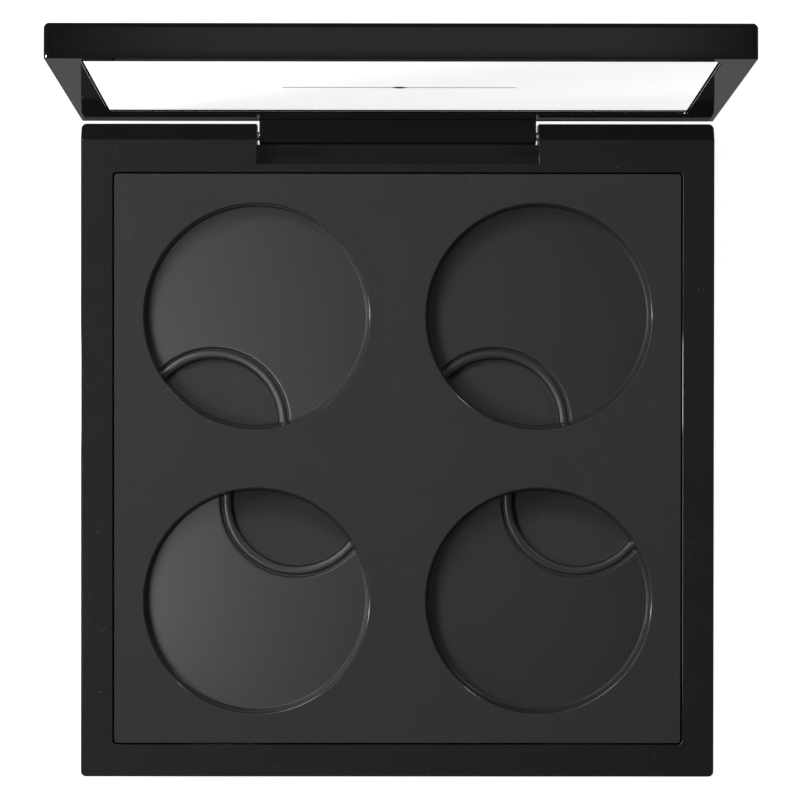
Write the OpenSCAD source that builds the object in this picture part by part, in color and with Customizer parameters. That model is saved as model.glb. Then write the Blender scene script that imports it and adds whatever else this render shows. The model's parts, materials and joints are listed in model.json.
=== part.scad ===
// Refillable make-up palette: a flat square case with four round wells for
// standard pans and a hinged lid with a clear window. All sizes in millimetres.
// Origin: centre of the base's underside. +X right, +Y towards the hinge, +Z up.
// The lid is drawn open, at open_angle from its closed place.

/* [Case] */
// Width of the case along the hinge
body_w = 75; // [74:0.5:100]
// Depth of the case from its front edge to its rear edge
body_d = 77.4; // [76:0.5:100]
// Height of the base without the lid
base_h = 8.2; // [8:0.1:12]
// Radius of the upright corner edges
corner_r = 0.6; // [0.3:0.1:1]
// Bevel along the lower edges of the base and the upper edges of the lid
edge_bevel = 0.4; // [0.2:0.1:0.8]
// Thickness of the base's bottom wall
floor_t = 1.2; // [1:0.1:1.6]
// Width of the gloss rim on the left and on the right of the tray
rim_side = 3.75; // [3.4:0.05:6]
// Width of the gloss rim in front of the tray
rim_front = 3.8; // [3.4:0.1:6]
// Width of the gloss rim behind the tray
rim_rear = 5.8; // [5.8:0.1:9]
// Depth, front to back, of the slope along the rear edge
slope_run = 1.9; // [1:0.1:2]
// Height of the slope along the rear edge
slope_drop = 1.9; // [1:0.1:2]

/* [Tray] */
// Gap between the tray and the case all round
tray_gap = 0.15; // [0.1:0.05:0.3]
// How far the tray lies below the rim
tray_drop = 0.2; // [0:0.05:0.5]
// Thickness of the tray's top plate
plate_t = 1.2; // [0.9:0.1:1.6]
// Thickness of the tray's skirt
skirt_t = 1.1; // [0.9:0.1:1.6]
// Thickness of the adhesive tape under the skirt
tape_t = 0.2; // [0.1:0.05:0.3]

/* [Wells] */
// Diameter of a standard round pan
pan_d = 26; // [24:0.5:27]
// Gap around a pan in its well
pan_gap = 0.3; // [0.1:0.05:0.45]
// Depth of a well
well_depth = 3.2; // [2.6:0.1:3.4]
// Bevel at a well's mouth
mouth_bevel = 0.2; // [0.1:0.05:0.3]
// Smallest distance from a well's wall to the tray's edge
well_margin = 3.58; // [2.5:0.01:6]
// Wall around a well, under the plate
cup_wall = 0.9; // [0.7:0.1:1.2]
// Thickness of a well's floor
cup_floor = 0.9; // [0.8:0.1:1.1]

/* [Tilt pockets] */
// Radius of the shallow outer step of the pocket
step_r = 8.9; // [7:0.1:10]
// Radius of the deep part of the pocket
pocket_r = 7.6; // [6:0.1:8.5]
// Depth of the shallow step below the well's floor
step_drop = 0.35; // [0.2:0.05:0.5]
// Further depth of the deep part
pocket_drop = 0.9; // [0.5:0.1:1.2]
// Draft of the pocket's wall below the well
pocket_draft = 0.15; // [0.1:0.05:0.3]
// Distance from the well's centre to the pocket's centre, rear wells
pocket_off_rear = 13.8; // [12:0.1:14]
// Distance from the well's centre to the pocket's centre, front wells
pocket_off_front = 12.6; // [12:0.1:14]
// Turn of the pocket about the well's centre, from the left-right line
pocket_turn = 68; // [45:1:90]

/* [Magnets] */
// Diameter of the disc magnet under a well
disc_d = 7; // [5:0.5:7.4]
// Thickness of the disc magnet
disc_t = 1.2; // [0.8:0.1:1.4]
// Plastic left between a disc magnet and the pan
disc_skin = 0.8; // [0.6:0.1:1]
// Wall around a disc magnet
boss_wall = 1; // [0.8:0.1:1.2]
// Length of a closing magnet, along the front edge
bar_l = 8; // [6:0.5:12]
// Front-to-back depth of a closing magnet in the base
bar_w = 1.9; // [1.4:0.1:2]
// Height of a closing magnet in the base
bar_t = 2; // [1.5:0.1:2.5]
// Front-to-back depth of a closing magnet in the lid
lid_bar_w = 1.3; // [1:0.1:1.4]
// Height of a closing magnet in the lid
lid_bar_t = 0.8; // [0.6:0.1:0.9]
// Plastic left over a closing magnet in the base
bar_skin = 0.6; // [0.5:0.1:1]
// Distance of the closing magnets from the middle
bar_x = 21; // [12:1:26]
// Gap beside each magnet in its seat
magnet_gap = 0.1; // [0.05:0.05:0.2]

/* [Hinge] */
// Angle from closed to the place where the lid stands
open_angle = 93; // [90:1:98]
// Distance of the hinge axis in front of the rear edge
axis_in = 1.5; // [1.4:0.1:2]
// Distance of the hinge axis below the top of the base
axis_down = 1.8; // [1.7:0.1:2.2]
// Diameter of a hinge pin
pin_d = 1; // [0.8:0.1:1]
// Length of a hinge pin inside the lid's knuckle
pin_engage = 6; // [4:0.5:12]
// How far a pin's outer end lies below the side of the case
pin_inset = 0.4; // [0.2:0.1:1]
// Radial gap of a pin that turns in the knuckle
pin_run = 0.05; // [0.03:0.01:0.08]
// Radial squeeze of a pin that is pressed into the base
pin_press = 0.01; // [0.01:0.01:0.02]
// Width of the notch that takes the knuckle
notch_w = 33.4; // [24:0.2:44]
// Depth of the notch from the rear edge
notch_d = 4.75; // [4.5:0.05:5]
// Height of the notch's floor at the opening
notch_floor = 2; // [1.5:0.1:3]
// Rise of the notch's sloping floor towards its front wall
notch_rise = 2.2; // [1.6:0.1:2.4]
// Depth, from the rear edge, of the part of the notch that is open below
notch_through = 2.35; // [2:0.05:3]
// Gap at each end of the knuckle
knuckle_gap = 0.3; // [0.15:0.05:0.4]
// Knuckle's reach in front of the hinge axis, lid closed
knuckle_front = 1.15; // [1:0.05:1.3]
// Knuckle's reach below the hinge axis, lid closed
knuckle_below = 0.95; // [0.9:0.05:1.1]
// Rounding of the knuckle's long edges
knuckle_round = 0.4; // [0.2:0.1:0.6]

/* [Lid] */
// Thickness of the lid
lid_h = 3.8; // [3.4:0.1:5]
// Gap between the closed lid and the base
lid_gap = 0.1; // [0.05:0.05:0.3]
// Width of the frame's left and right bars
frame_side = 3.7; // [3.2:0.1:6]
// Width of the frame's front bar
frame_front = 3.2; // [3.2:0.1:6]
// Width of the frame's rear bar
frame_rear = 9.3; // [5:0.1:12]
// Bevel of the frame's inner rear edge, which passes behind the base
rear_bevel = 0.5; // [0.3:0.1:0.8]
// Thickness of the lip that the window seats on
lip_t = 1.3; // [1.1:0.1:1.6]
// Width of the window's flange at the sides and the rear
flange_w = 1.2; // [0.8:0.1:2]
// Width of the window's flange at the front, over the magnets
flange_front = 1.9; // [1.8:0.1:2.2]
// Gap around the window in the frame
window_gap = 0.1; // [0.05:0.05:0.2]
// How far the window lies below the lip's inner face
window_recess = 0.25; // [0.1:0.05:0.5]
// How far the window lies below the lid's outer face
window_inset = 0.2; // [0.1:0.05:0.5]
// Thickness of the adhesive tape under the flange
window_tape_t = 0.15; // [0.1:0.05:0.3]

/* [Print and label] */
// Length of the printed line on the window
print_l = 26; // [15:1:40]
// Width of the printed line
print_w = 0.25; // [0.2:0.05:0.5]
// Half diagonal of the lozenge in the middle of the line
print_lozenge = 1.1; // [0.6:0.1:2]
// Thickness of the print
print_t = 0.03; // [0.02:0.01:0.05]
// Width of the blank label under the base
label_w = 52; // [30:1:60]
// Depth of the label
label_d = 30; // [20:1:50]
// Thickness of the label
label_t = 0.15; // [0.1:0.05:0.2]
// Depth of the seat that keeps the label off the table
label_seat = 0.3; // [0.2:0.05:0.4]

/* [Hidden] */

$fn = 96;
eps = 0.01;
over = 1;

// The seat for the tray
seat_w = body_w - 2 * rim_side;
seat_d = body_d - rim_front - rim_rear;
seat_y = (rim_front - rim_rear) / 2;
seat_r = 0.5;

// The tray
tray_w = seat_w - 2 * tray_gap;
tray_d = seat_d - 2 * tray_gap;
tray_top = base_h - tray_drop;
skirt_z = floor_t + tape_t;

// The wells
well_r = pan_d / 2 + pan_gap;
well_z = tray_top - well_depth;
well_x = tray_w / 2 - well_margin - well_r;
well_y = tray_d / 2 - well_margin - well_r;
pocket_z = well_z - step_drop - pocket_drop;
disc_z = well_z - disc_skin - disc_t;

// The hinge
axis_y = body_d / 2 - axis_in;
axis_z = base_h - axis_down;
notch_y = body_d / 2 - notch_d;
knuckle_w = notch_w - 2 * knuckle_gap;
pin_x0 = knuckle_w / 2 - pin_engage;
pin_l = body_w / 2 - pin_inset - pin_x0;

// The closed lid
lid_z = base_h + lid_gap;
lid_top = lid_z + lid_h;
open_w = body_w - 2 * frame_side;
open_d = body_d - frame_front - frame_rear;
open_y = (frame_front - frame_rear) / 2;
rebate_w = open_w + 2 * flange_w;
rebate_d = open_d + flange_w + flange_front;
rebate_y = open_y + (flange_w - flange_front) / 2;
rebate_z = lid_z + lip_t;
pane_z = lid_z + window_recess;
flange_z = rebate_z + window_tape_t;
pane_top = lid_top - window_inset;

// The closing magnets sit in the front rim and in the lid's front ledge
bar_z = base_h - bar_skin - bar_t;
ledge_y = -body_d / 2 + frame_front - flange_front / 2;

// A flat block with rounded upright edges, centred on X and Y, from z up
module block(w, d, z, h, r) {
    translate([0, 0, z]) {
        translate([-w / 2 + r, -d / 2, 0]) cube([w - 2 * r, d, h]);
        translate([-w / 2, -d / 2 + r, 0]) cube([w, d - 2 * r, h]);
        for (sx = [-1, 1], sy = [-1, 1])
            translate([sx * (w / 2 - r), sy * (d / 2 - r), 0]) cylinder(h = h, r = r);
    }
}

// A ring between two blocks of the same middle
module ring(w, d, z, h, wall, r) {
    difference() {
        block(w, d, z, h, r);
        block(w - 2 * wall, d - 2 * wall, z - over, h + 2 * over, r);
    }
}

// A prism along X with its profile given in Y and Z
module bar_x_profile(l, points) {
    rotate([90, 0, 90]) translate([0, 0, -l / 2]) linear_extrude(l) polygon(points);
}

// Bevels on the four long edges of a w x d plate, at height z; up is 1 or -1
module edge_bevels(w, d, z, up, c) {
    for (side = [[w, d, 0], [d, w, 90]])
        rotate([0, 0, side[2]]) for (s = [-1, 1])
            bar_x_profile(side[0] + 2 * over, [
                [s * (side[1] / 2 - c), z + up * eps],
                [s * (side[1] / 2 + eps), z - up * c],
                [s * (side[1] / 2 + over), z - up * c],
                [s * (side[1] / 2 + over), z + up * over],
                [s * (side[1] / 2 - c), z + up * over]
            ]);
}

// Puts a child at each of the four wells, with its pocket's direction
module at_well(row, col) {
    translate([col * well_x, seat_y + row * well_y, 0]) children();
}

// Rear pockets open to the front left, front pockets to the rear right
function pocket_at(row) = let (r = row > 0 ? pocket_off_rear : pocket_off_front)
    [-row * r * cos(pocket_turn), -row * r * sin(pocket_turn)];

module pocket_disc(row, z, h, r) {
    translate([pocket_at(row)[0], pocket_at(row)[1], z]) cylinder(h = h, r = r);
}

// Material that carries one well under the plate
module cup_outside(row) {
    translate([0, 0, well_z - cup_floor])
        cylinder(h = tray_top - plate_t / 2 - well_z + cup_floor, r = well_r + cup_wall);
    intersection() {
        translate([0, 0, pocket_z - cup_floor])
            cylinder(h = well_z - pocket_z, r = well_r + cup_wall);
        pocket_disc(row, pocket_z - cup_floor, well_z - pocket_z, pocket_r + cup_wall);
    }
    translate([0, 0, disc_z]) cylinder(h = well_z - disc_z - eps, r = disc_d / 2 + boss_wall);
}

// The space of one well: bore, mouth bevel, stepped tilt pocket, magnet seat
module cup_inside(row) {
    translate([0, 0, well_z]) cylinder(h = well_depth + over, r = well_r);
    translate([0, 0, tray_top - mouth_bevel])
        cylinder(h = mouth_bevel + eps, r1 = well_r, r2 = well_r + mouth_bevel + eps);
    intersection() {
        translate([0, 0, pocket_z])
            cylinder(h = well_z - pocket_z + eps, r1 = well_r - pocket_draft, r2 = well_r);
        union() {
            pocket_disc(row, well_z - step_drop, step_drop + eps, step_r);
            pocket_disc(row, pocket_z, well_z - pocket_z + eps, pocket_r);
        }
    }
    translate([0, 0, disc_z - over]) cylinder(h = disc_t + over, r = disc_d / 2 + magnet_gap);
}

// Space for one hinge pin: side is 1 or -1, from x0 outwards along the hinge axis
module pin_way(side, x0, l, r) {
    translate([side * x0, axis_y, axis_z]) rotate([0, side * 90, 0]) cylinder(h = l, r = r, $fn = 48);
}

module base_shell() {
    color([0.045, 0.045, 0.05]) difference() {
        block(body_w, body_d, 0, base_h, corner_r);
        edge_bevels(body_w, body_d, 0, -1, edge_bevel);
        // slope along the rear edge
        bar_x_profile(body_w + 2 * over, [
            [body_d / 2 - slope_run, base_h], [body_d / 2, base_h - slope_drop],
            [body_d / 2 + over, base_h - slope_drop], [body_d / 2 + over, base_h + over],
            [body_d / 2 - slope_run, base_h + over]
        ]);
        // seat of the tray
        translate([0, seat_y, 0]) block(seat_w, seat_d, floor_t, base_h, seat_r);
        // notch for the knuckle, open below at its rear
        bar_x_profile(notch_w, [
            [notch_y, notch_floor + notch_rise], [body_d / 2 - notch_through, notch_floor],
            [body_d / 2 + over, notch_floor], [body_d / 2 + over, base_h + over],
            [notch_y, base_h + over]
        ]);
        translate([-notch_w / 2, body_d / 2 - notch_through, -over])
            cube([notch_w, notch_through + over, base_h]);
        // ways for the two pins, from the notch to the sides
        for (s = [-1, 1])
            pin_way(s, notch_w / 2 - over, body_w / 2 - notch_w / 2 + 2 * over, pin_d / 2 - pin_press);
        // seats of the closing magnets, open to the tray's seat
        for (s = [-1, 1])
            translate([s * bar_x - bar_l / 2 - magnet_gap,
                       -body_d / 2 + rim_front - bar_w, bar_z - magnet_gap])
                cube([bar_l + 2 * magnet_gap, bar_w + over, bar_t + 2 * magnet_gap]);
        // seat of the label
        block(label_w + 2 * magnet_gap, label_d + 2 * magnet_gap, -over, label_seat + over, 1);
    }
}

module pan_tray() {
    color([0.16, 0.16, 0.17]) difference() {
        union() {
            translate([0, seat_y, 0]) {
                block(tray_w, tray_d, tray_top - plate_t, plate_t, seat_r - tray_gap);
                ring(tray_w, tray_d, skirt_z, tray_top - plate_t / 2 - skirt_z,
                     skirt_t, seat_r - tray_gap);
            }
            for (row = [-1, 1], col = [-1, 1]) at_well(row, col) cup_outside(row);
        }
        for (row = [-1, 1], col = [-1, 1]) at_well(row, col) cup_inside(row);
    }
}

module tray_tape() {
    color([0.85, 0.85, 0.8]) translate([0, seat_y, 0])
        ring(tray_w, tray_d, floor_t, tape_t, skirt_t, seat_r - tray_gap);
}

module pan_magnet(row, col) {
    color([0.7, 0.71, 0.73]) at_well(row, col)
        translate([0, 0, disc_z]) cylinder(h = disc_t, r = disc_d / 2);
}

module base_magnet(side) {
    color([0.7, 0.71, 0.73])
        translate([side * bar_x - bar_l / 2, -body_d / 2 + rim_front - bar_w, bar_z])
            cube([bar_l, bar_w, bar_t]);
}

module hinge_pin(side) {
    color([0.6, 0.61, 0.63]) pin_way(side, pin_x0, pin_l, pin_d / 2);
}

module base_label() {
    color([0.78, 0.78, 0.77])
        block(label_w, label_d, label_seat - label_t, label_t, 1);
}

// Turns a piece of the closed lid to its open place
module opened() {
    translate([0, axis_y, axis_z]) rotate([-open_angle, 0, 0])
        translate([0, -axis_y, -axis_z]) children();
}

// Cross-section of the knuckle, lid closed, with two rounded lower edges
module knuckle() {
    y0 = axis_y - knuckle_front;
    z0 = axis_z - knuckle_below;
    rotate([90, 0, 90]) translate([0, 0, -knuckle_w / 2]) linear_extrude(knuckle_w) {
        translate([y0, z0 + knuckle_round])
            square([body_d / 2 - y0, lid_z + rear_bevel + eps - z0 - knuckle_round]);
        translate([y0 + knuckle_round, z0])
            square([body_d / 2 - y0 - 2 * knuckle_round, 2 * knuckle_round]);
        for (y = [y0 + knuckle_round, body_d / 2 - knuckle_round])
            translate([y, z0 + knuckle_round]) circle(knuckle_round, $fn = 32);
    }
}

module lid_frame() {
    color([0.05, 0.05, 0.055]) opened() difference() {
        union() {
            difference() {
                block(body_w, body_d, lid_z, lid_h, corner_r);
                edge_bevels(body_w, body_d, lid_top, 1, edge_bevel);
                bar_x_profile(body_w + 2 * over, [
                    [body_d / 2 - rear_bevel, lid_z], [body_d / 2, lid_z + rear_bevel],
                    [body_d / 2 + over, lid_z + rear_bevel], [body_d / 2 + over, lid_z - over],
                    [body_d / 2 - rear_bevel, lid_z - over]
                ]);
            }
            knuckle();
        }
        translate([0, open_y, 0]) block(open_w, open_d, lid_z - over, lid_h, seat_r);
        translate([0, rebate_y, 0]) block(rebate_w, rebate_d, rebate_z, lid_h, seat_r);
        // bores in which the pins turn
        for (s = [-1, 1])
            pin_way(s, pin_x0 - knuckle_gap, pin_engage + knuckle_gap + over, pin_d / 2 + pin_run);
        // seats of the closing magnets, in the ledge under the flange
        for (s = [-1, 1])
            translate([s * bar_x - bar_l / 2 - magnet_gap, ledge_y - lid_bar_w / 2 - magnet_gap,
                       rebate_z - lid_bar_t])
                cube([bar_l + 2 * magnet_gap, lid_bar_w + 2 * magnet_gap, lid_bar_t + over]);
    }
}

module window_pane() {
    color([0.9, 0.92, 0.93, 0.3]) opened() {
        translate([0, open_y, 0])
            block(open_w - 2 * window_gap, open_d - 2 * window_gap, pane_z,
                  flange_z - pane_z + eps, seat_r - window_gap);
        translate([0, rebate_y, 0])
            block(rebate_w - 2 * window_gap, rebate_d - 2 * window_gap, flange_z,
                  pane_top - flange_z, seat_r - window_gap);
    }
}

module window_tape() {
    color([0.1, 0.1, 0.1]) opened() difference() {
        translate([0, rebate_y, 0])
            block(rebate_w - 2 * window_gap, rebate_d - 2 * window_gap, rebate_z,
                  window_tape_t, seat_r - window_gap);
        translate([0, open_y, 0])
            block(open_w + 2 * window_gap, open_d + 2 * window_gap, rebate_z - over,
                  window_tape_t + 2 * over, seat_r);
    }
}

module lid_magnet(side) {
    color([0.7, 0.71, 0.73]) opened()
        translate([side * bar_x - bar_l / 2, ledge_y - lid_bar_w / 2, rebate_z - lid_bar_t])
            cube([bar_l, lid_bar_w, lid_bar_t]);
}

// A plain line with a lozenge in the middle, printed on the window's inner face
module window_print() {
    color([0.75, 0.75, 0.76]) opened()
        translate([0, open_y, pane_z - print_t]) linear_extrude(print_t) {
            square([print_l, print_w], center = true);
            polygon([[-print_lozenge, 0], [0, -print_lozenge],
                     [print_lozenge, 0], [0, print_lozenge]]);
        }
}

base_shell();
pan_tray();
tray_tape();
pan_magnet(1, -1);  // pan_magnet_rear_left
pan_magnet(1, 1);  // pan_magnet_rear_right
pan_magnet(-1, -1);  // pan_magnet_front_left
pan_magnet(-1, 1);  // pan_magnet_front_right
base_magnet(-1);  // base_magnet_left
base_magnet(1);  // base_magnet_right
hinge_pin(-1);  // hinge_pin_left
hinge_pin(1);  // hinge_pin_right
base_label();
lid_frame();
window_pane();
window_tape();
lid_magnet(-1);  // lid_magnet_left
lid_magnet(1);  // lid_magnet_right
window_print();
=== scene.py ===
"""Refillable eyeshadow palette, standing open and empty: its looks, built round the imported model.

The moulded black case, the lid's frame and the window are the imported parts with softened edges.
The tray is a new surface with drafted wells and beaded tilt pockets. Lengths are in metres.
"""

import json
import math

import bmesh
import bpy
import numpy as np
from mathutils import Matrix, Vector
from mathutils.geometry import tessellate_polygon

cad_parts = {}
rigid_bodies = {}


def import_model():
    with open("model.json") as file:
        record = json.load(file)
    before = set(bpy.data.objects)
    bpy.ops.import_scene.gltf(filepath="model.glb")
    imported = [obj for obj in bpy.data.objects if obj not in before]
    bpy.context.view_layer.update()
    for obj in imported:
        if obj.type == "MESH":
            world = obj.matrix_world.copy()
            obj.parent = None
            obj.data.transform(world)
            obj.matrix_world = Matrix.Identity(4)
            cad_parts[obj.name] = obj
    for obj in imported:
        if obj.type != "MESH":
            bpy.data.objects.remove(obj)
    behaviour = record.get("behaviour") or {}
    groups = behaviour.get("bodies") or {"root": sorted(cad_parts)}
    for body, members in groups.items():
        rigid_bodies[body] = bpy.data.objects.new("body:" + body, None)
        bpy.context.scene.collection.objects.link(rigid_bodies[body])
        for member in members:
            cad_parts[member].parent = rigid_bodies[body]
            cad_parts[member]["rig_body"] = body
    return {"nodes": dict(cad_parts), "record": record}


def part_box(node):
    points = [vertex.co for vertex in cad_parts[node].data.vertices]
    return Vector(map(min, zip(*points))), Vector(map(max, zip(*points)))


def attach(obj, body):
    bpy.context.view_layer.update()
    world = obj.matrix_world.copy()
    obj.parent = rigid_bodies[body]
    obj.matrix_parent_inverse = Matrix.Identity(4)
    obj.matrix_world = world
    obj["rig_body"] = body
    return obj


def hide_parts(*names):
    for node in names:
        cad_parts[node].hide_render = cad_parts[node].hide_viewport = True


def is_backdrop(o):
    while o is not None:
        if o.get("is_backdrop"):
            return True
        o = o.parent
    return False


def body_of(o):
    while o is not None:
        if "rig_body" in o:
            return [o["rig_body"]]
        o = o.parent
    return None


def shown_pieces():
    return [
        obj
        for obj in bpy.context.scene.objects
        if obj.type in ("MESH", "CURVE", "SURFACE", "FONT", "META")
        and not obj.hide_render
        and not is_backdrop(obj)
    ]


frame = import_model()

MM = 0.001

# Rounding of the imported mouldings' edges, and the steepness from which an edge is rounded
BASE_EDGE = 0.10 * MM
LID_EDGE = 0.12 * MM
PANE_EDGE = 0.08 * MM
SHARP_EDGE = math.radians(30.0)
NEARLY_FLAT = math.radians(1.0)
FLAT_FACE_WEIGHT = 100

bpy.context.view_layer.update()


# ---------------------------------------------------------------- shader arithmetic


class Value:
    """A shader socket that can be written into a formula: each operation adds one Math node."""

    def __init__(self, finish, socket):
        self.finish = finish
        self.socket = socket

    def _math(self, operation, first, second=0.0):
        return self.finish.node("ShaderNodeMath", {"operation": operation}, {0: first, 1: second})

    def __add__(self, other):
        return self._math("ADD", self, other)

    def __radd__(self, other):
        return self._math("ADD", other, self)

    def __sub__(self, other):
        return self._math("SUBTRACT", self, other)

    def __rsub__(self, other):
        return self._math("SUBTRACT", other, self)

    def __mul__(self, other):
        return self._math("MULTIPLY", self, other)

    def __rmul__(self, other):
        return self._math("MULTIPLY", other, self)


class Finish:
    """A surface finish: a Principled shader, its fixed settings, and the nodes that vary it."""

    def __init__(self, name, **fixed):
        self.material = bpy.data.materials.new(name)
        self.material.use_nodes = True
        self.nodes = self.material.node_tree.nodes
        self.links = self.material.node_tree.links
        self.shader = self.nodes["Principled BSDF"]
        for socket, value in fixed.items():
            self.shader.inputs[socket.replace("_", " ")].default_value = value

    def node(self, kind, settings=None, sockets=None, output=0):
        """Adds a node: its settings first, then its sockets' values or links. Gives one output."""
        made = self.nodes.new(kind)
        for key, value in (settings or {}).items():
            setattr(made, key, value)
        for key, value in (sockets or {}).items():
            self._feed(made.inputs[key], value)
        return Value(self, made.outputs[output])

    def _feed(self, socket, value):
        if isinstance(value, Value):
            self.links.new(value.socket, socket)
        else:
            socket.default_value = value

    def axis(self, letter):
        """The piece's own coordinate along one axis, in metres."""
        here = self.node("ShaderNodeTexCoord", output="Object")
        return self.node("ShaderNodeSeparateXYZ", {}, {0: here}, letter)

    def place(self, scale=(1.0, 1.0, 1.0), turn=(0.0, 0.0, 0.0)):
        """The piece's own coordinates in millimetres, stretched and turned for a pattern."""
        here = self.node("ShaderNodeTexCoord", output="Object")
        size = tuple(s / MM for s in scale)
        return self.node("ShaderNodeMapping", {}, {"Vector": here, "Scale": size, "Rotation": turn})

    def noise(self, size, detail=2.0, rough=0.5, stretch=(1.0, 1.0, 1.0), turn=(0.0, 0.0, 0.0)):
        """Soft noise from 0 to 1 whose blobs are about size millimetres across."""
        sockets = {"Vector": self.place(stretch, turn), "Scale": 1.0 / size,
                   "Detail": detail, "Roughness": rough}
        return self.node("ShaderNodeTexNoise", {}, sockets, "Fac")

    def level(self, value, low, high):
        """A smooth step from 0 at low to 1 at high."""
        settings = {"interpolation_type": "SMOOTHSTEP"}
        return self.node("ShaderNodeMapRange", settings,
                         {"Value": value, "From Min": low, "From Max": high})

    def blend(self, factor, first, second):
        """A colour between first and second."""
        settings = {"data_type": "RGBA", "blend_type": "MIX"}
        made = self.node("ShaderNodeMix", settings, {0: factor}, "Result").socket.node
        colour_in = [s for s in made.inputs if s.type == "RGBA"]
        colour_out = [s for s in made.outputs if s.type == "RGBA"][0]
        self._feed(colour_in[0], first)
        self._feed(colour_in[1], second)
        return Value(self, colour_out)

    def bump(self, height, depth):
        """Feeds the normal with a relief of height 0 to 1 and the given depth in millimetres."""
        relief = self.node("ShaderNodeBump", {}, {"Height": height, "Distance": depth * MM,
                                                  "Strength": 1.0}, "Normal")
        self.feed("Normal", relief)

    def feed(self, socket, value):
        """Gives one of the Principled shader's sockets a value or a link."""
        self._feed(self.shader.inputs[socket], value)


def grey(level, warm=0.0):
    """A near-neutral colour; warm above 0 adds red and takes blue."""
    return (level * (1.0 + warm), level, level * (1.0 - warm), 1.0)


def polished_black(name, depth):
    """Moulded black plastic with a mirror polish, faint handling haze, hairlines and a little dust."""
    f = Finish(name, IOR=1.49)
    haze = f.noise(9.0, 3.0, 0.55)
    hairlines = f.level(f.noise(0.9, 2.0, 0.6, stretch=(1.0, 0.04, 1.0), turn=(0.0, 0.0, 0.7)), 0.66, 0.8)
    dust = f.level(f.noise(0.16, 0.0, 0.5), 0.80, 0.84) * f.level(f.noise(5.0, 1.0), 0.52, 0.62)
    f.feed("Base Color", f.blend(dust * 0.5, f.blend(haze, grey(depth, -0.03), grey(depth * 1.5, -0.02)),
                                 grey(0.12)))
    f.feed("Roughness", 0.025 + 0.03 * haze + 0.04 * hairlines + 0.3 * dust)
    f.bump(f.noise(6.0, 1.0) * 0.6 + 0.05 * hairlines, 0.004)
    return f.material


def matt_charcoal():
    """Charcoal plastic with a fine spark-eroded grain, smoother on the floors where the pans slide. Its
    colour is painted lighter on the floors than on the plate and in the pockets, a painted sheen.
    """
    f = Finish("tray_charcoal", IOR=1.5)
    height = f.axis("Z")
    floor = wells[0]["floor"]
    plate = f.level(height, TRAY_HIGH[2] - 0.03 * MM, TRAY_HIGH[2] - 0.004 * MM)
    wall = f.level(height, floor + 0.2 * MM, floor + 0.5 * MM) * (1.0 - plate)
    pocket = 1.0 - f.level(height, floor - 0.9 * MM, floor - 0.1 * MM)
    rough_part = plate + 0.8 * pocket
    grain = f.noise(0.11, 3.0, 0.7)
    cloud = f.noise(14.0, 2.0, 0.5)
    wear = f.level(f.noise(1.6, 3.0, 0.6, stretch=(1.0, 0.35, 1.0), turn=(0.0, 0.0, 0.4)), 0.60, 0.75)
    # Painted sheen: the well floors take a lighter colour than the plate and the pockets, standing in for
    # the lamps' highlight on them
    floor_painted_sheen = f.blend(grain * 0.5 + cloud * 0.5, grey(0.012, -0.03), grey(0.017, -0.03))
    plate_and_pocket_tone = f.blend(grain * 0.5 + cloud * 0.5, grey(0.008, -0.04), grey(0.012, -0.04))
    f.feed("Base Color", f.blend(wear * 0.1, f.blend(rough_part, floor_painted_sheen, plate_and_pocket_tone), grey(0.04)))
    f.feed("Roughness", 0.30 + 0.53 * rough_part - 0.18 * wall + 0.06 * grain - 0.03 * wear)
    f.bump(grain * 0.8 + 0.2 * f.noise(0.5, 2.0), 0.005)
    return f.material


def clear_plastic():
    """Clear cast plastic: it bends what lies behind and mirrors a little, with faint haze and hairlines."""
    f = Finish("clear_window", IOR=1.49, Roughness=0.04)
    haze = f.noise(16.0, 3.0, 0.6)
    hairlines = f.level(f.noise(1.2, 2.0, 0.6, stretch=(0.03, 1.0, 1.0), turn=(0.3, 0.0, 0.5)), 0.68, 0.8)
    f.feed("Base Color", f.blend(haze, (0.70, 0.72, 0.74, 1.0), (0.80, 0.82, 0.84, 1.0)))
    through = f.node("ShaderNodeBsdfRefraction", {}, {"Color": (0.985, 0.99, 0.99, 1.0), "Roughness": 0.0,
                                                      "IOR": 1.49}, "BSDF")
    mirror = f.node("ShaderNodeBsdfGlossy", {}, {"Color": grey(0.95), "Roughness": 0.03}, "BSDF")
    both = f.node("ShaderNodeMixShader", {}, {0: 0.03 + 0.015 * haze + 0.02 * hairlines,
                                              1: through, 2: mirror}, "Shader")
    f.links.new(both.socket, f.nodes["Material Output"].inputs["Surface"])
    return f.material


def drawn_steel():
    """Steel wire with fine rings left by cutting."""
    f = Finish("pin_steel", Metallic=1.0)
    rings = f.noise(0.25, 3.0, 0.6, stretch=(6.0, 0.4, 0.4))
    f.feed("Base Color", f.blend(rings, grey(0.46, -0.01), grey(0.62, 0.0)))
    f.feed("Roughness", 0.25 + 0.2 * rings)
    f.bump(rings, 0.004)
    return f.material


def nickel_plate():
    """Nickel-plated magnet: bright, warm, with a light orange-peel and dull spots."""
    f = Finish("nickel_magnet", Metallic=1.0)
    peel = f.noise(0.4, 3.0, 0.5)
    spots = f.level(f.noise(1.8, 2.0), 0.55, 0.7)
    f.feed("Base Color", f.blend(spots * 0.4, (0.66, 0.62, 0.56, 1.0), (0.42, 0.40, 0.37, 1.0)))
    f.feed("Roughness", 0.14 + 0.1 * peel + 0.15 * spots)
    f.bump(peel, 0.006)
    return f.material


def sticky_tape(name, light, dark):
    """Double-sided tape: a fibrous film with a slightly greasy shine."""
    f = Finish(name, IOR=1.45)
    fibre = f.noise(0.5, 4.0, 0.7, stretch=(0.3, 1.0, 1.0))
    f.feed("Base Color", f.blend(fibre, dark, light))
    f.feed("Roughness", 0.45 + 0.2 * fibre)
    f.bump(fibre, 0.01)
    return f.material


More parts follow.
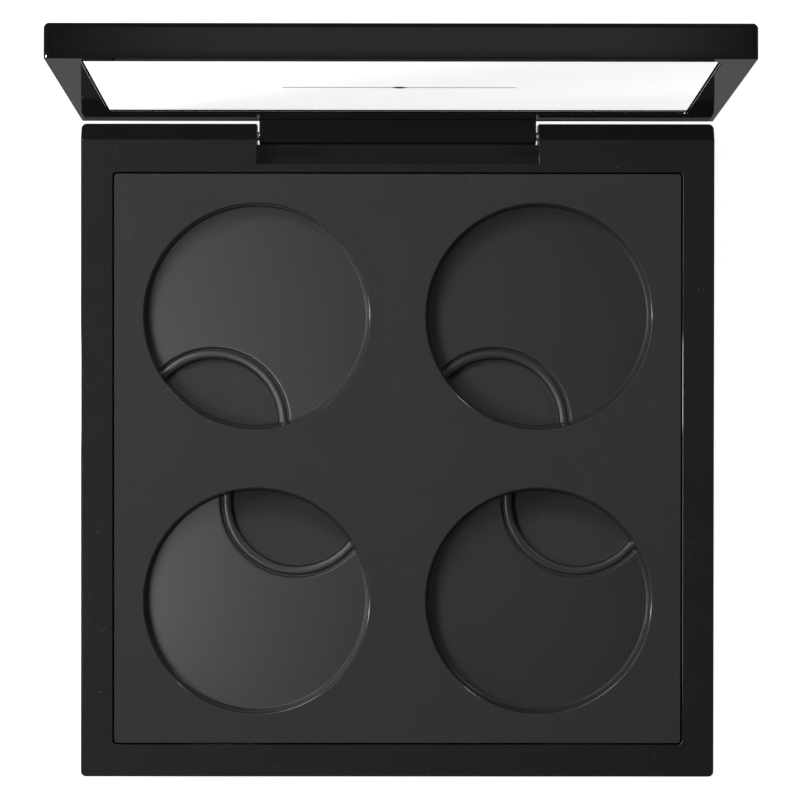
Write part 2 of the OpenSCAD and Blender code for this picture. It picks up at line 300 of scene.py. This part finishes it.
def label_paper():
    """Blank label stock with short fibres and a faint tone."""
    f = Finish("label_paper", IOR=1.4)
    fibre = f.noise(0.35, 5.0, 0.75, stretch=(1.0, 0.5, 1.0))
    tone = f.noise(12.0, 2.0)
    f.feed("Base Color", f.blend(fibre * 0.6 + tone * 0.4, grey(0.60, 0.015), grey(0.74, 0.02)))
    f.feed("Roughness", 0.7 + 0.15 * fibre)
    f.bump(fibre, 0.008)
    return f.material


def silver_print():
    """Thin screen print in silver grey, with the grain of its pigment."""
    f = Finish("print_silver", Metallic=0.4)
    pigment = f.noise(0.08, 2.0, 0.6)
    f.feed("Base Color", f.blend(pigment, grey(0.10), grey(0.18)))
    f.feed("Roughness", 0.4 + 0.2 * pigment)
    return f.material


# ---------------------------------------------------------------- meshes


def piece_from(name, vertices, faces, material):
    """Puts vertices and faces into a new object, merges doubles and turns the faces outwards."""
    mesh = bpy.data.meshes.new(name)
    mesh.from_pydata(vertices, [], faces)
    shape = bmesh.new()
    shape.from_mesh(mesh)
    bmesh.ops.remove_doubles(shape, verts=shape.verts, dist=0.0005 * MM)
    bmesh.ops.recalc_face_normals(shape, faces=shape.faces)
    shape.to_mesh(mesh)
    shape.free()
    return show(name, mesh, material)


def show(name, mesh, material):
    """Links a mesh into the scene with one material and smooth faces."""
    mesh.materials.clear()
    mesh.materials.append(material)
    mesh.shade_smooth()
    piece = bpy.data.objects.new(name, mesh)
    bpy.context.scene.collection.objects.link(piece)
    return piece


def softened(node, name, material, width, segments=3):
    """A CAD node's shape with its corners merged and every sharp edge rounded by a bevel."""
    shape = bmesh.new()
    shape.from_mesh(frame["nodes"][node].data)
    bmesh.ops.remove_doubles(shape, verts=shape.verts, dist=0.001 * MM)
    bmesh.ops.dissolve_limit(shape, angle_limit=NEARLY_FLAT, verts=shape.verts, edges=shape.edges)
    mesh = bpy.data.meshes.new(name)
    shape.to_mesh(mesh)
    shape.free()
    piece = show(name, mesh, material)
    edges = piece.modifiers.new("soft_edges", "BEVEL")
    edges.width = width
    edges.segments = segments
    edges.limit_method = "ANGLE"
    edges.angle_limit = SHARP_EDGE
    edges.use_clamp_overlap = False
    keep_flat(piece)
    return piece


def keep_flat(piece):
    """Lets large faces rule the shading at their borders, so that they look flat up to their edges."""
    weighted = piece.modifiers.new("flat_faces_stay_flat", "WEIGHTED_NORMAL")
    weighted.weight = FLAT_FACE_WEIGHT


def grid_faces(rows, columns, first, closed=False):
    """Quads of a grid whose vertices run row by row; closed joins the last column to the first."""
    i, j = np.meshgrid(np.arange(rows - 1), np.arange(columns if closed else columns - 1), indexing="ij")
    right = (j + 1) % columns
    quads = np.stack([i * columns + j, i * columns + right, (i + 1) * columns + right,
                      (i + 1) * columns + j], axis=-1)
    return (quads.reshape(-1, 4) + first).tolist()


class Patches:
    """Collects grids and flat fills that share their borders, to be merged into one skin."""

    def __init__(self):
        self.vertices = []
        self.faces = []
        self.count = 0

    def _add(self, points):
        first = self.count
        self.vertices.append(points.reshape(-1, 3))
        self.count += len(self.vertices[-1])
        return first

    def grid(self, points, closed=False):
        """Adds a grid of points, rows by columns by 3."""
        first = self._add(points)
        self.faces += grid_faces(points.shape[0], points.shape[1], first, closed)

    def polygon(self, points):
        """Adds one flat face round its border points."""
        first = self._add(points)
        self.faces.append(list(range(first, first + len(points))))

    def plate(self, border, holes):
        """Fills the flat region between a border loop and its holes with triangles."""
        loops = [border] + holes
        first = self._add(np.concatenate(loops))
        triangles = tessellate_polygon([loop.tolist() for loop in loops])
        self.faces += [[first + k for k in triangle] for triangle in triangles]

    def piece(self, name, material):
        return piece_from(name, np.concatenate(self.vertices), self.faces, material)


def turned(angle, radius):
    """Points at these angles and radii round the origin, as x and y."""
    return np.stack([radius * np.cos(angle), radius * np.sin(angle)], axis=-1)


def frame_path(half_x, half_y, radius, steps=8):
    """A rounded rectangle's corner arcs, as core points and outward directions; core + directions *
    offset is the outline at that offset, and the corners' own radius is the outline at full size."""
    turn = np.linspace(0.0, math.pi / 2, steps)
    angles = np.concatenate([turn + quarter * math.pi / 2 for quarter in range(4)])
    signs = np.repeat([[1, 1], [-1, 1], [-1, -1], [1, -1]], steps, axis=0)
    core = signs * [half_x - radius, half_y - radius]
    return core, turned(angles, 1.0)


# ---------------------------------------------------------------- the tray

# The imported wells: centre, radius of the wall and height of the floor
wells = []
for mount in frame["record"]["mounts"]:
    if mount["name"].startswith("well_"):
        centre = np.array(mount["pos_m"])
        wells.append({"centre": centre[:2], "radius": mount["dims"]["r_mm"] * MM,
                      "floor": centre[2] - mount["dims"]["length_mm"] * MM / 2,
                      "rear": "rear" in mount["name"]})

TRAY_LOW, TRAY_HIGH = (np.array(corner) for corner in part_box("pan_tray"))

# Tilt pockets: the middle of their arcs, as a distance and a turn from the well's centre
POCKET_OFFSET_REAR = 13.8 * MM
POCKET_OFFSET_FRONT = 12.6 * MM
POCKET_TURN = math.radians(68.0)

# Heights of the pocket below the well's floor, at radii round the middle of its arcs
POCKET_RELIEF = (
    (9.35, 0.0), (9.16, 0.0), (9.10, -0.02), (9.05, -0.07), (9.02, -0.16), (8.97, -0.40),
    (8.93, -0.45), (8.84, -0.46), (8.76, -0.40), (8.70, -0.32), (8.62, -0.27), (8.50, -0.245),
    (8.35, -0.24), (8.20, -0.25), (8.05, -0.28), (7.92, -0.33), (7.84, -0.38), (7.78, -0.46),
    (7.75, -0.56), (7.68, -1.12), (7.65, -1.20), (7.59, -1.24), (7.50, -1.25), (7.25, -1.25))
UNDER_RELIEF = ((9.35, 0.0), (8.60, 0.0), (8.50, -0.05), (8.40, -1.15), (8.30, -1.25), (7.25, -1.25))


def well_skin(patches, well, top, radius, floor, relief, lip, draft, fillet):
    """One well: a mouth rounded by a quarter arc, a wall with draft, a fillet, and a floor.

    The floor is flat but for a tilt pocket. The pocket is bounded by arcs about a point near the wall,
    so its height is a function of the distance from that point alone, carried along the arcs from one
    side of the wall to the other. The law of cosines gives the angles at which each arc meets the wall.
    """
    rear = well["rear"]
    offset = POCKET_OFFSET_REAR if rear else POCKET_OFFSET_FRONT
    heading = POCKET_TURN + (math.pi if rear else 0.0)
    centre = well["centre"]
    middle = centre + turned(heading, offset)

    def wall_radius(z):
        return radius - draft * (top - lip - z) / (top - lip - floor)

    def foot_radius(z):
        return wall_radius(z + fillet) - fillet

    rho, drop = (np.array(column) * MM for column in zip(*relief))
    foot = foot_radius(floor + drop)
    meets = np.arccos((foot**2 + offset**2 - rho**2) / (2 * foot * offset))
    spread = np.arccos((rho**2 + offset**2 - foot**2) / (2 * rho * offset))

    # angles round the well: floor side, pocket side, and the pocket's edge on both flanks
    far = np.linspace(meets[0], 2 * math.pi - meets[0], 120)
    near = np.linspace(-meets[-1], meets[-1], 40)
    angle = np.concatenate([near, meets[-2:0:-1], far, 2 * math.pi - meets[1:-1]])
    base = floor + np.concatenate([np.full(near.size, drop[-1]), drop[-2:0:-1],
                                   np.full(far.size, drop[0]), drop[1:-1]])

    bend = np.linspace(0.0, math.pi / 2, 7)
    mouth_r = radius + lip * (1 - np.sin(bend))
    mouth_z = top - lip * (1 - np.cos(bend))
    mouth = np.broadcast_to(np.stack([mouth_r, mouth_z], -1)[:, None], (bend.size, angle.size, 2))
    start = base + fillet
    heel_r = wall_radius(start) - fillet * (1 - np.cos(bend))[:, None]
    heel_z = start - fillet * np.sin(bend)[:, None]
    profile = np.concatenate([mouth, np.stack([heel_r, heel_z], -1)])
    across = centre + turned(angle + heading, profile[..., 0])
    patches.grid(np.concatenate([across, profile[..., 1:]], -1), closed=True)

    share = np.linspace(-1.0, 1.0, 65)
    arc = middle + turned(heading + math.pi + share * spread[:, None], rho[:, None])
    height = np.broadcast_to((floor + drop)[:, None, None], (rho.size, share.size, 1))
    band = np.concatenate([arc, height], -1)
    patches.grid(band)

    def foot_points(angles, z):
        flat = centre + turned(angles + heading, foot_radius(z))
        return np.concatenate([flat, np.full((angles.size, 1), z)], -1)

    patches.polygon(np.concatenate([foot_points(far[1:-1], floor), band[0][::-1]]))
    patches.polygon(np.concatenate([foot_points(near[1:-1], floor + drop[-1]), band[-1]]))
    ring = centre + turned(angle + heading, radius + lip)
    return np.concatenate([ring, np.full((angle.size, 1), top)], -1)


def pan_tray(material):
    """The tray: a plate with four wells, a rounded outer edge and a skirt that turns down and back up
    to the plate's underside, where the wells stand out as cups."""
    corner = 0.35 * MM
    edge = 0.08 * MM
    skirt = 1.1 * MM
    plate = 1.2 * MM
    wall = 0.9 * MM
    top, foot = TRAY_HIGH[2], TRAY_LOW[2]
    half = (TRAY_HIGH - TRAY_LOW)[:2] / 2
    centre = (TRAY_HIGH + TRAY_LOW)[:2] / 2
    core, outward = frame_path(half[0], half[1], corner)
    core = core + centre

    bend = np.linspace(0.0, math.pi / 2, 6)
    inset = np.concatenate([edge * (1 - np.sin(bend)), [0.0, 0.1 * MM, skirt - 0.1 * MM, skirt, skirt]])
    z = np.concatenate([top - edge * (1 - np.cos(bend)),
                        [foot + 0.1 * MM, foot, foot, foot + 0.1 * MM, top - plate]])
    rows = core + outward * (corner - inset)[:, None, None]
    rows = np.concatenate([rows, np.broadcast_to(z[:, None, None], rows.shape[:2] + (1,))], -1)

    patches = Patches()
    patches.grid(rows, closed=True)
    mouths, cups = [], []
    for well in wells:
        mouths.append(well_skin(patches, well, top, well["radius"], well["floor"], POCKET_RELIEF,
                                lip=0.26 * MM, draft=0.22 * MM, fillet=0.14 * MM))
        cups.append(well_skin(patches, well, top - plate, well["radius"] + wall, well["floor"] - wall,
                              UNDER_RELIEF, lip=0.1 * MM, draft=0.22 * MM, fillet=0.2 * MM))
    patches.plate(rows[0], mouths)
    patches.plate(rows[-1], cups)
    tray = patches.piece("charcoal_tray", material)
    keep_flat(tray)
    return tray


# ---------------------------------------------------------------- the palette


def dress(node, material):
    """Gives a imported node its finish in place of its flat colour."""
    mesh = frame["nodes"][node].data
    if len(mesh.materials) == 0:
        mesh.materials.append(material)
    for index in range(len(mesh.materials)):
        mesh.materials[index] = material


def stand_for(piece, node, body):
    """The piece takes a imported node's place and moves with its body."""
    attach(piece, body)
    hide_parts(node)


def build_palette():
    """All that shows of the palette: four softened or rebuilt mouldings and the dressed small parts."""
    base = softened("base_shell", "gloss_base", polished_black("gloss_black", 0.006), BASE_EDGE)
    stand_for(base, "base_shell", "base")
    lid = softened("lid_frame", "gloss_lid_frame", polished_black("gloss_black_lid", 0.007), LID_EDGE)
    stand_for(lid, "lid_frame", "lid")
    pane = softened("window_pane", "clear_pane", clear_plastic(), PANE_EDGE, 2)
    stand_for(pane, "window_pane", "lid")
    pane.visible_shadow = False
    tray = pan_tray(matt_charcoal())
    stand_for(tray, "pan_tray", "base")

    steel, nickel = drawn_steel(), nickel_plate()
    for node in frame["nodes"]:
        if node.startswith("hinge_pin"):
            dress(node, steel)
        elif "magnet" in node:
            dress(node, nickel)
    dress("tray_tape", sticky_tape("tape_white", grey(0.72, 0.02), grey(0.62, 0.02)))
    dress("window_tape", sticky_tape("tape_black", grey(0.018), grey(0.012)))
    dress("base_label", label_paper())
    dress("window_print", silver_print())


# ---------------------------------------------------------------- the studio


def soft_box(name, compass, lean, distance, width, depth, brightness, lit=()):
    """A rectangular light that faces the palette, lean degrees from straight above and on the compass
    bearing from +X towards +Y. Where lit names pieces, it lights only those, and only they shade it."""
    data = bpy.data.lights.new(name, "AREA")
    data.shape = "RECTANGLE"
    data.size, data.size_y = width, depth
    data.energy = brightness * math.pi * width * depth
    lamp = bpy.data.objects.new(name, data)
    around, up = math.radians(compass), math.radians(lean)
    away = Vector((math.sin(up) * math.cos(around), math.sin(up) * math.sin(around), math.cos(up)))
    lamp.location = away * distance
    lamp.visible_camera = False
    lamp.rotation_mode = "QUATERNION"
    lamp.rotation_quaternion = away.to_track_quat("Z", "Y")
    bpy.context.scene.collection.objects.link(lamp)
    if lit:
        group = bpy.data.collections.new(name + "_pieces")
        for piece in lit:
            group.objects.link(piece)
        lamp.light_linking.blocker_collection = group
        lamp.light_linking.receiver_collection = group


def white_floor():
    """A white table so bright that it shows plain, with only a breath of shadow."""
    reach = 6.0
    sheet = bpy.data.meshes.new("table")
    sheet.from_pydata([(x * reach, y * reach, -0.02 * MM) for x, y in ((-1, -1), (1, -1), (1, 1), (-1, 1))],
                      [], [(0, 1, 2, 3)])
    f = Finish("table_white", Roughness=0.8)
    f.feed("Base Color", grey(0.8))
    f.feed("Emission Color", grey(1.0))
    f.feed("Emission Strength", 0.93)
    table = show("table", sheet, f.material)
    table.visible_glossy = False
    table.visible_diffuse = False
    table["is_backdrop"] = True


def sky_card():
    """A glowing card high over the camera that the polished faces mirror. Over the rims it fades from
    left to right, over the knuckle it is dim, and over the lid's bar it is bright only in the middle."""
    height, centre_y = 1.4, 0.05
    half_x, half_y = 0.45, 0.40
    rim_left, rim_fade, knuckle = 0.31, 0.16, 0.14
    bar_end, bar_middle = 0.04, 0.52
    f = Finish("card_glow", Roughness=1.0)
    f.feed("Base Color", grey(0.0))
    across, along = f.axis("X"), f.axis("Y")
    past_rims = f.level(along, 0.06, 0.11)
    past_knuckle = f.level(along, 0.176, 0.186)
    fade = rim_left - rim_fade * f.level(across, -0.16, 0.16)
    middle = f.level(across, -0.14, -0.05) * (1.0 - f.level(across, 0.08, 0.15))
    bar = (bar_end + bar_middle * middle) * past_knuckle
    between = knuckle * past_rims * (1.0 - past_knuckle)
    glow = fade * (1.0 - past_rims) + between + bar
    f.feed("Emission Color", f.blend(glow, grey(0.0), grey(1.0)))
    f.feed("Emission Strength", 1.0)
    sheet = bpy.data.meshes.new("sky_card")
    sheet.from_pydata([(x * half_x, y * half_y, 0.0) for x, y in ((-1, -1), (1, -1), (1, 1), (-1, 1))],
                      [], [(3, 2, 1, 0)])
    card = show("sky_card", sheet, f.material)
    card.location = (0.0, centre_y, height)
    card.visible_camera = False
    card.visible_shadow = False
    card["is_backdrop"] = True


# Each lamp: bearing and lean in degrees, distance, width and depth in metres, brightness, and whether
# it lights the base alone
LAMPS = (
    ("upper_left", 124.0, 41.0, 0.21, 0.06, 0.06, 20.0, True),
    ("middle_left", 156.0, 31.0, 0.19, 0.045, 0.045, 11.0, True),
    ("lower_left", 196.0, 25.0, 0.18, 0.04, 0.04, 19.0, True),
    ("left_low", 180.0, 62.0, 0.50, 0.02, 0.20, 70.0, False),
    ("strip_rear_right", 47.0, 60.0, 0.80, 0.05, 0.12, 60.0, True),
)


def studio():
    """The room's even grey, the card and the soft boxes round the palette."""
    world = bpy.data.worlds.new("studio_grey")
    world.use_nodes = True
    world.node_tree.nodes["Background"].inputs["Color"].default_value = grey(0.13)
    bpy.context.scene.world = world
    sky_card()
    base_pieces = [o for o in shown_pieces() if body_of(o) == ["base"]]
    for *placing, base_alone in LAMPS:
        soft_box(*placing, lit=base_pieces if base_alone else ())


def camera():
    """A long lens high over the palette, square to it but for a hair. Its place, tilt and lens come from
    a least-squares fit of the corners of the base, the tray and the lid and the middles of the wells."""
    data = bpy.data.cameras.new("camera")
    data.lens = 246.53
    data.sensor_width = 36.0
    data.clip_start, data.clip_end = 0.01, 20.0
    eye = bpy.data.objects.new("camera", data)
    eye.location = (-2.96 * MM, 17.68 * MM, 656.92 * MM)
    eye.rotation_euler = tuple(math.radians(angle) for angle in (-1.035, -0.286, 0.053))
    bpy.context.scene.collection.objects.link(eye)
    bpy.context.scene.camera = eye


bpy.context.scene.view_settings.view_transform = "Standard"
build_palette()
white_floor()
studio()
camera()
